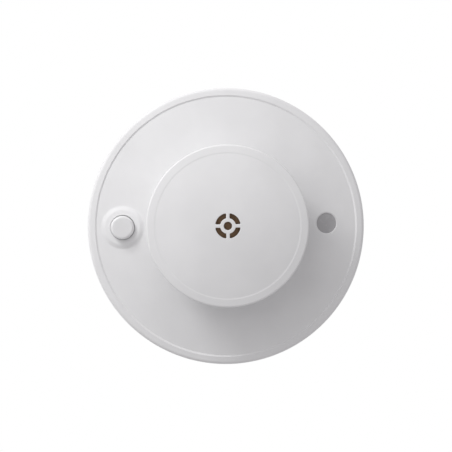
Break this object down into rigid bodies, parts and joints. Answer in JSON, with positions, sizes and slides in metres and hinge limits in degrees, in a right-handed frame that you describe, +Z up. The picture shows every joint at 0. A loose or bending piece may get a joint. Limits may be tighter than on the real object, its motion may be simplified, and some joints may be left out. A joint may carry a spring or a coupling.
{
  "type": "smoke detector",
  "caption": "Round wall smoke alarm: shallow cone cover, raised overhanging cap with a sounder grille, side test button, status window and twist-off mounting plate.",
  "frame": {"origin": "centre of the mounting plate's flat back face, which lies against the wall or ceiling", "axes": "-Y points out of the front of the alarm, +Y into the wall; +Z is up the wall, with the test button to the -X side and the status window to the +X side"},
  "size_m": [0.116, 0.0439, 0.116],
  "materials": {
    "white_plastic": "fine satin moulded, very light spark texture",
    "rear_plastic": "matt moulded",
    "button_plastic": "satin moulded, a little smoother than the cover",
    "window_plastic": "smoked translucent light guide",
    "black_plastic": "matt black moulded",
    "screen_steel": "fine woven stainless mesh, modelled as a band",
    "brass": "plain rolled",
    "piezo_ceramic": "silvered ceramic",
    "led_clear": "water-clear epoxy",
    "led_dark": "dark daylight-filter epoxy",
    "lead_red": "smooth insulation",
    "lead_black": "smooth insulation",
    "board_laminate": "green solder mask",
    "chip_black": "matt moulded epoxy",
    "ferrite": "matt sintered",
    "can_aluminium": "drawn can",
    "status_led_lens": "clear epoxy",
    "plunger_plastic": "moulded",
    "cell_sleeve": "plain printed sleeve without lettering",
    "steel": "bright zinc plated"
  },
  "bodies": {
    "base": {"mounting_plate": "rear_plastic"},
    "head": {"rear_housing": "rear_plastic", "front_cover": "white_plastic", "inlet_grille": "white_plastic", "sounder_cap": "white_plastic", "status_window": "window_plastic", "insect_screen": "screen_steel", "chamber_base": "black_plastic", "chamber_labyrinth": "black_plastic", "chamber_lid": "black_plastic", "sounder_housing": "black_plastic", "infrared_led": "led_clear", "photodiode": "led_dark", "piezo_disc": "brass", "piezo_ceramic": "piezo_ceramic", "sounder_lead_plus": "lead_red", "sounder_lead_minus": "lead_black", "circuit_board": "board_laminate", "microcontroller": "chip_black", "sounder_driver": "chip_black", "boost_coil": "ferrite", "large_capacitor": "can_aluminium", "small_capacitor": "can_aluminium", "crystal": "can_aluminium", "status_led": "status_led_lens", "test_switch": "chip_black", "button_spring": "steel", "upper_cell": "cell_sleeve", "lower_cell": "cell_sleeve", "left_contact": "steel", "right_contact": "steel", "top_screw": "steel", "left_screw": "steel", "right_screw": "steel"},
    "button": {"test_button": "button_plastic"},
    "plunger": {"switch_plunger": "plunger_plastic"}
  },
  "joints": [
    {"name": "head_twist", "type": "hinge", "parent": "base", "child": "head", "pos_m": [0, 0, 0], "axis": [0, -1, 0], "range_deg": [0, 15]},
    {"name": "button_press", "type": "slide", "parent": "head", "child": "button", "axis": [0, 1, 0], "range_m": [0, 0.001], "stiffness_N_per_m": 800, "springref_m": -0.001, "deforming": ["button_spring"]},
    {"name": "plunger_slide", "type": "slide", "parent": "head", "child": "plunger", "axis": [0, 1, 0], "range_m": [0, 0.001]}
  ],
  "couplings": [
    {"joint": "plunger_slide", "follows": "button_press", "ratio": 1}
  ]
}
